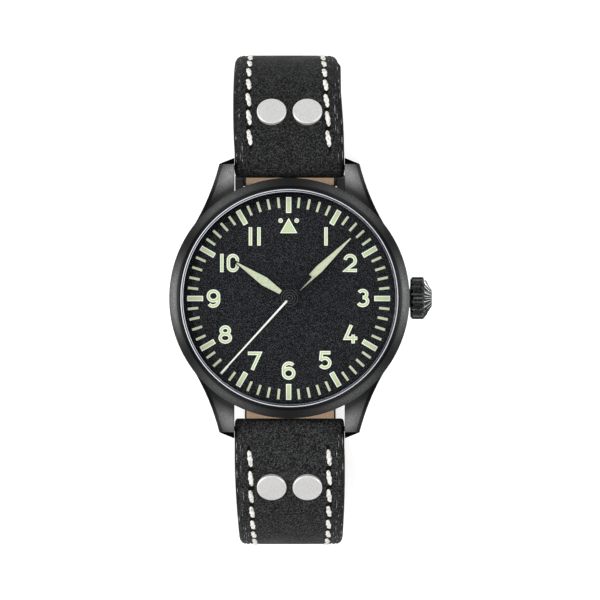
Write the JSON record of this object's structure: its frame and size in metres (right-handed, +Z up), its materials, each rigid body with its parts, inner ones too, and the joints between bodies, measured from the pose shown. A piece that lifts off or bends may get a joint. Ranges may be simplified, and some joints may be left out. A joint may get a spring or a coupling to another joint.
{
  "type": "pilot watch",
  "caption": "Round steel wristwatch on a riveted two-piece leather strap, with a black dial, large hour numerals and luminous hands.",
  "frame": {"origin": "point of the table straight under the middle of the dial, on the flat underside of the long strap half", "axes": "+Z up out of the dial, +Y towards twelve o'clock, +X towards the crown"},
  "size_m": [0.043, 0.0826, 0.0567],
  "materials": {
    "case_steel": "brushed and bead-blasted steel",
    "bezel_steel": "circular brushed steel",
    "crown_steel": "satin steel",
    "bar_steel": "turned steel",
    "buckle_steel": "satin steel",
    "rivet_steel": "satin nickel steel",
    "crystal_glass": "clear domed sapphire",
    "seal_rubber": "matt",
    "flange_black": "matt black",
    "dial_black": "fine-grained matt black",
    "hand_black": "satin black",
    "lume": "pale green luminous paint",
    "leather_black": "fine-grained matt black",
    "leather_tan": "smooth tan",
    "spacer_plastic": "grey moulded",
    "plate_brass": "nickel-plated brass",
    "wheel_brass": "gilt brass",
    "work_steel": "ground steel",
    "spring_steel": "blued spring alloy",
    "jewel": "polished ruby, red",
    "rotor_metal": "plated heavy alloy"
  },
  "bodies": {
    "case": {"case_middle": "case_steel", "bezel": "bezel_steel", "crystal": "crystal_glass", "crystal_seal": "seal_rubber", "flange": "flange_black", "dial": "dial_black", "case_back": "case_steel", "back_seal": "seal_rubber", "movement_ring": "spacer_plastic", "crown_tube": "crown_steel", "spring_bar_12": "bar_steel", "spring_bar_6": "bar_steel", "main_plate": "plate_brass", "train_bridge": "plate_brass", "balance_cock": "plate_brass", "plate_bearings": "jewel", "bridge_bearings": "jewel", "rotor_post": "work_steel", "crown_wheel_core": "work_steel", "hairspring": "spring_steel"},
    "strap_12": {"strap_12": "leather_black", "lining_12": "leather_tan", "rivets_12": "rivet_steel", "fixed_keeper": "leather_black", "buckle_bar": "buckle_steel"},
    "strap_6": {"strap_6": "leather_black", "lining_6": "leather_tan", "rivets_6": "rivet_steel"},
    "free_keeper": {"free_keeper": "leather_black"},
    "buckle": {"buckle_frame": "buckle_steel"},
    "tang": {"buckle_tang": "buckle_steel"},
    "clutch": {"clutch_wheel": "work_steel"},
    "crown": {"crown": "crown_steel", "winding_stem": "crown_steel", "crown_seal": "seal_rubber"},
    "winding_pinion": {"winding_pinion": "work_steel"},
    "crown_wheel": {"crown_wheel": "work_steel"},
    "ratchet": {"ratchet_wheel": "work_steel"},
    "barrel": {"barrel": "wheel_brass", "mainspring": "spring_steel"},
    "seconds": {"seconds_hand": "hand_black", "seconds_needle": "lume", "seconds_wheel": "wheel_brass"},
    "minutes": {"minute_hand": "hand_black", "minute_lume": "lume", "cannon_pinion": "wheel_brass", "center_wheel": "wheel_brass"},
    "hours": {"hour_hand": "hand_black", "hour_lume": "lume", "hour_wheel": "wheel_brass"},
    "third": {"third_wheel": "wheel_brass"},
    "escape": {"escape_wheel": "work_steel"},
    "minute_wheel": {"minute_wheel": "wheel_brass"},
    "pallet": {"pallet_fork": "work_steel"},
    "balance": {"balance_wheel": "wheel_brass"},
    "rotor": {"rotor": "rotor_metal"}
  },
  "joints": [
    {"name": "strap_12_swing", "type": "hinge", "parent": "case", "child": "strap_12", "pos_m": [0, 0.0215, 0.04764], "axis": [1, 0, 0], "range_deg": [0, 60]},
    {"name": "strap_6_swing", "type": "hinge", "parent": "case", "child": "strap_6", "pos_m": [0, -0.0215, 0.04764], "axis": [-1, 0, 0], "range_deg": [0, 60]},
    {"name": "keeper_slide", "type": "hinge", "parent": "strap_12", "child": "free_keeper", "pos_m": [0, 0.02612, 0.0266], "axis": [-1, 0, 0], "range_deg": [-12, 6]},
    {"name": "buckle_swing", "type": "hinge", "parent": "strap_12", "child": "buckle", "pos_m": [0, 0.02082, 0.0126], "axis": [-1, 0, 0], "range_deg": [0, 100]},
    {"name": "tang_swing", "type": "hinge", "parent": "buckle", "child": "tang", "pos_m": [0, 0.02082, 0.0126], "axis": [1, 0, 0], "range_deg": [0, 30]},
    {"name": "crown_turn", "type": "hinge", "parent": "case", "child": "clutch", "pos_m": [0.0085, 0, 0.04954], "axis": [1, 0, 0], "continuous": true},
    {"name": "crown_pull", "type": "slide", "parent": "clutch", "child": "crown", "axis": [1, 0, 0], "range_m": [0, 0.0018]},
    {"name": "winding_pinion_turn", "type": "hinge", "parent": "case", "child": "winding_pinion", "pos_m": [0.0101, 0, 0.04954], "axis": [1, 0, 0], "continuous": true},
    {"name": "crown_wheel_turn", "type": "hinge", "parent": "case", "child": "crown_wheel", "pos_m": [0.00755, 0, 0.04814], "axis": [0, 0, 1], "continuous": true},
    {"name": "ratchet_turn", "type": "hinge", "parent": "case", "child": "ratchet", "pos_m": [0.00354, 0.00521, 0.05044], "axis": [0, 0, 1], "continuous": true},
    {"name": "seconds_turn", "type": "hinge", "parent": "case", "child": "seconds", "pos_m": [0, 0, 0.05044], "axis": [0, 0, -1], "continuous": true},
    {"name": "minutes_turn", "type": "hinge", "parent": "case", "child": "minutes", "pos_m": [0, 0, 0.05044], "axis": [0, 0, -1], "continuous": true},
    {"name": "hours_turn", "type": "hinge", "parent": "case", "child": "hours", "pos_m": [0, 0, 0.05044], "axis": [0, 0, -1], "continuous": true},
    {"name": "third_turn", "type": "hinge", "parent": "case", "child": "third", "pos_m": [-0.00538, 0.00047, 0.05044], "axis": [0, 0, -1], "continuous": true},
    {"name": "escape_turn", "type": "hinge", "parent": "case", "child": "escape", "pos_m": [0.00267, -0.00463, 0.05044], "axis": [0, 0, -1], "continuous": true},
    {"name": "barrel_turn", "type": "hinge", "parent": "case", "child": "barrel", "pos_m": [0.00354, 0.00521, 0.05044], "axis": [0, 0, -1], "continuous": true},
    {"name": "minute_wheel_turn", "type": "hinge", "parent": "case", "child": "minute_wheel", "pos_m": [-0.00144, -0.00249, 0.05044], "axis": [0, 0, -1], "continuous": true},
    {"name": "pallet_rock", "type": "hinge", "parent": "case", "child": "pallet", "pos_m": [0.00017, -0.00576, 0.05044], "axis": [0, 0, 1], "range_deg": [-5, 5]},
    {"name": "balance_swing", "type": "hinge", "parent": "case", "child": "balance", "pos_m": [-0.0036, -0.00745, 0.05044], "axis": [0, 0, 1], "range_deg": [-270, 270], "stiffness_Nm_per_rad": 0.000001},
    {"name": "rotor_turn", "type": "hinge", "parent": "case", "child": "rotor", "pos_m": [0, 0, 0.04694], "axis": [0, 0, 1], "continuous": true}
  ],
  "couplings": [
    {"joint": "minutes_turn", "follows": "seconds_turn", "ratio": 0.016667},
    {"joint": "hours_turn", "follows": "seconds_turn", "ratio": 0.0013889},
    {"joint": "third_turn", "follows": "seconds_turn", "ratio": -0.13333},
    {"joint": "escape_turn", "follows": "seconds_turn", "ratio": -12},
    {"joint": "barrel_turn", "follows": "seconds_turn", "ratio": -0.0025641},
    {"joint": "minute_wheel_turn", "follows": "seconds_turn", "ratio": -0.0055556},
    {"joint": "winding_pinion_turn", "follows": "crown_turn", "ratio": 1},
    {"joint": "crown_wheel_turn", "follows": "crown_turn", "ratio": 0.5},
    {"joint": "ratchet_turn", "follows": "crown_turn", "ratio": -0.24}
  ]
}
